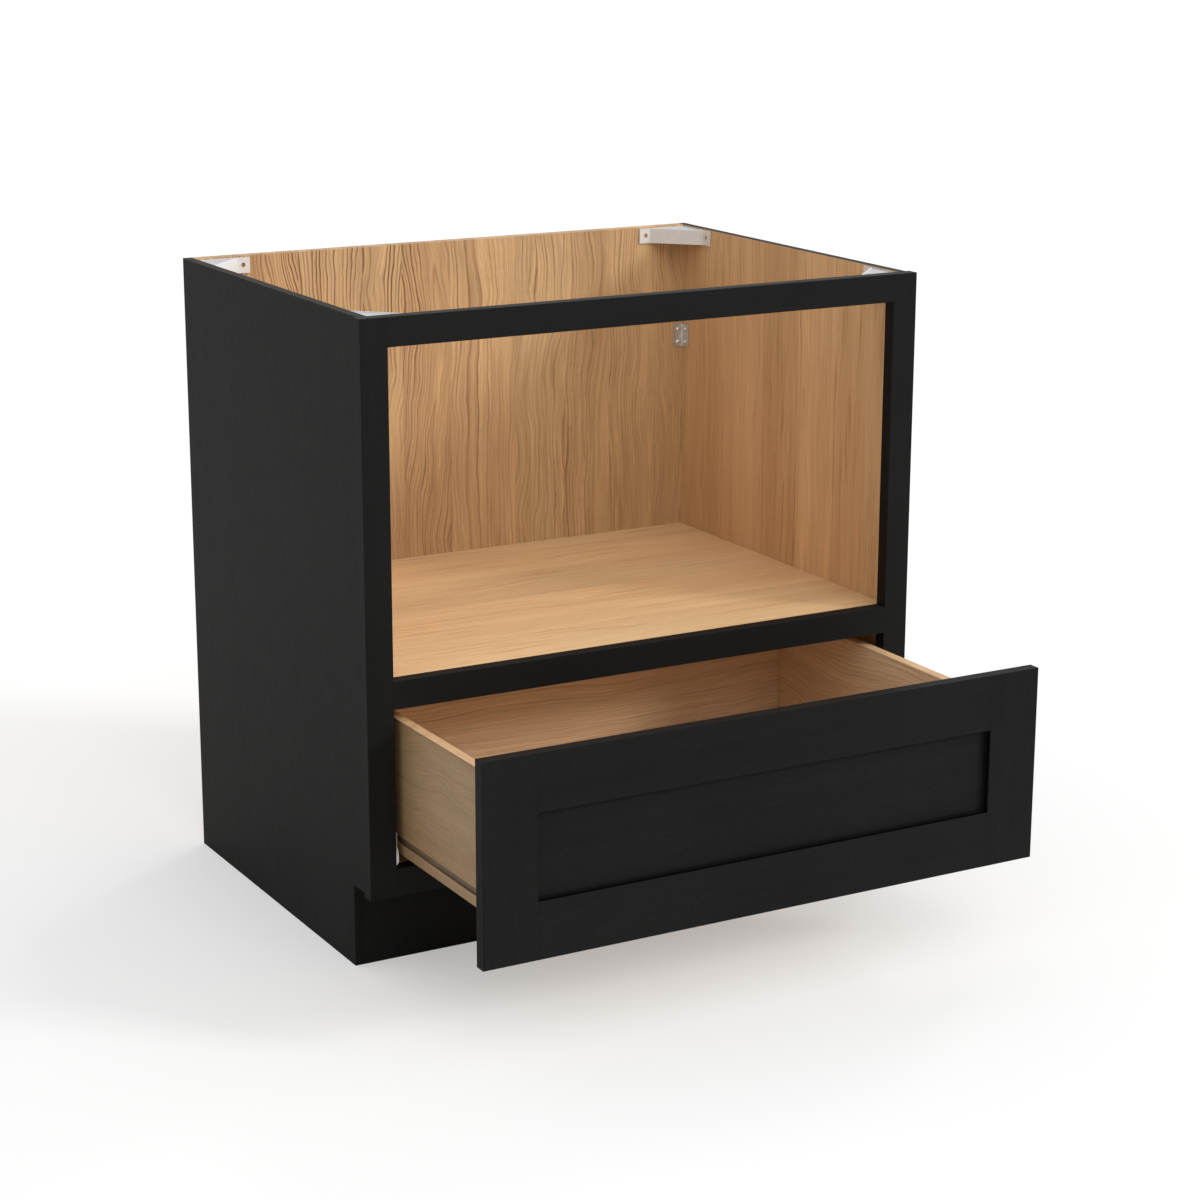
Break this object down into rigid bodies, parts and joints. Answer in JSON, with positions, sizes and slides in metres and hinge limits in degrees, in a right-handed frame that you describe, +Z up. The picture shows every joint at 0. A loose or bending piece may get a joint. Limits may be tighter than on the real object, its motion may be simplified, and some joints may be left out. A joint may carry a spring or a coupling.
{
  "type": "microwave base cabinet",
  "caption": "Face-frame base cabinet with an open bay for a microwave above a wide flat-panel drawer on under-drawer slides, a recessed toe kick and an open top for a worktop.",
  "frame": {"origin": "on the floor, in the middle of the back panel's lower edge and halfway through its thickness", "axes": "+X to the right of someone facing the cabinet, +Y to the wall behind it, +Z up"},
  "size_m": [0.8382, 0.9191, 0.8763],
  "materials": {
    "black_paint": "satin black paint on solid wood",
    "side_panel": "satin black paint outside and on the top edge, clear finish inside",
    "natural_oak": "clear satin varnish on oak veneer",
    "drawer_wood": "clear satin varnish on light wood",
    "white_plastic": "moulded off-white",
    "grey_plastic": "moulded grey",
    "bumper_rubber": "clear and soft",
    "zinc_steel": "zinc plated"
  },
  "bodies": {
    "carcass": {"back_panel": "natural_oak", "microwave_shelf": "natural_oak", "cabinet_floor": "natural_oak", "left_side_panel": "side_panel", "right_side_panel": "side_panel", "toe_kick_board": "black_paint", "top_rail": "black_paint", "middle_rail": "black_paint", "bottom_rail": "black_paint", "left_stile": "black_paint", "right_stile": "black_paint", "left_front_corner_bracket": "white_plastic", "right_front_corner_bracket": "white_plastic", "left_rear_corner_bracket": "white_plastic", "right_rear_corner_bracket": "white_plastic", "left_corner_clip": "zinc_steel", "right_corner_clip": "zinc_steel", "left_clip_back_screw_1": "zinc_steel", "left_clip_back_screw_2": "zinc_steel", "left_clip_side_screw_1": "zinc_steel", "left_clip_side_screw_2": "zinc_steel", "right_clip_back_screw_1": "zinc_steel", "right_clip_back_screw_2": "zinc_steel", "right_clip_side_screw_1": "zinc_steel", "right_clip_side_screw_2": "zinc_steel", "left_slide_cabinet_member": "zinc_steel", "right_slide_cabinet_member": "zinc_steel", "left_slide_rear_bracket": "zinc_steel", "right_slide_rear_bracket": "zinc_steel"},
    "drawer": {"drawer_front_panel": "black_paint", "drawer_front_top_rail": "black_paint", "drawer_front_bottom_rail": "black_paint", "drawer_front_left_stile": "black_paint", "drawer_front_right_stile": "black_paint", "drawer_box_front": "drawer_wood", "drawer_box_back": "drawer_wood", "drawer_box_bottom": "drawer_wood", "drawer_box_left_side": "drawer_wood", "drawer_box_right_side": "drawer_wood", "drawer_front_screw_1": "zinc_steel", "drawer_front_screw_2": "zinc_steel", "drawer_front_screw_3": "zinc_steel", "drawer_front_screw_4": "zinc_steel", "drawer_bumper_1": "bumper_rubber", "drawer_bumper_2": "bumper_rubber", "drawer_bumper_3": "bumper_rubber", "drawer_bumper_4": "bumper_rubber", "left_slide_drawer_member": "zinc_steel", "right_slide_drawer_member": "zinc_steel", "left_front_lock": "grey_plastic", "right_front_lock": "grey_plastic"},
    "left_middle_slide": {"left_slide_middle_member": "zinc_steel"},
    "right_middle_slide": {"right_slide_middle_member": "zinc_steel"},
    "left_lower_cage": {"left_lower_roller_cage": "white_plastic"},
    "right_lower_cage": {"right_lower_roller_cage": "white_plastic"},
    "left_upper_cage": {"left_upper_roller_cage": "white_plastic"},
    "right_upper_cage": {"right_upper_roller_cage": "white_plastic"},
    "left_lever": {"left_release_lever": "grey_plastic"},
    "right_lever": {"right_release_lever": "grey_plastic"}
  },
  "joints": [
    {"name": "drawer_travel", "type": "slide", "parent": "carcass", "child": "drawer", "axis": [0, -1, 0], "range_m": [-0.2895, 0.2405]},
    {"name": "left_middle_travel", "type": "slide", "parent": "carcass", "child": "left_middle_slide", "axis": [0, -1, 0], "range_m": [-0.14475, 0.12025]},
    {"name": "right_middle_travel", "type": "slide", "parent": "carcass", "child": "right_middle_slide", "axis": [0, -1, 0], "range_m": [-0.14475, 0.12025]},
    {"name": "left_lower_cage_travel", "type": "slide", "parent": "carcass", "child": "left_lower_cage", "axis": [0, -1, 0], "range_m": [-0.07237, 0.06012]},
    {"name": "right_lower_cage_travel", "type": "slide", "parent": "carcass", "child": "right_lower_cage", "axis": [0, -1, 0], "range_m": [-0.07237, 0.06012]},
    {"name": "left_upper_cage_travel", "type": "slide", "parent": "carcass", "child": "left_upper_cage", "axis": [0, -1, 0], "range_m": [-0.21713, 0.18038]},
    {"name": "right_upper_cage_travel", "type": "slide", "parent": "carcass", "child": "right_upper_cage", "axis": [0, -1, 0], "range_m": [-0.21713, 0.18038]},
    {"name": "left_lever_turn", "type": "hinge", "parent": "drawer", "child": "left_lever", "pos_m": [-0.3201, -0.84008, 0.1705], "axis": [0, 0, 1], "range_deg": [0, 8], "stiffness_Nm_per_rad": 0.05},
    {"name": "right_lever_turn", "type": "hinge", "parent": "drawer", "child": "right_lever", "pos_m": [0.3201, -0.84008, 0.1705], "axis": [0, 0, -1], "range_deg": [0, 8], "stiffness_Nm_per_rad": 0.05}
  ],
  "couplings": [
    {"joint": "left_middle_travel", "follows": "drawer_travel", "ratio": 0.5},
    {"joint": "right_middle_travel", "follows": "drawer_travel", "ratio": 0.5},
    {"joint": "left_lower_cage_travel", "follows": "drawer_travel", "ratio": 0.25},
    {"joint": "right_lower_cage_travel", "follows": "drawer_travel", "ratio": 0.25},
    {"joint": "left_upper_cage_travel", "follows": "drawer_travel", "ratio": 0.75},
    {"joint": "right_upper_cage_travel", "follows": "drawer_travel", "ratio": 0.75}
  ]
}
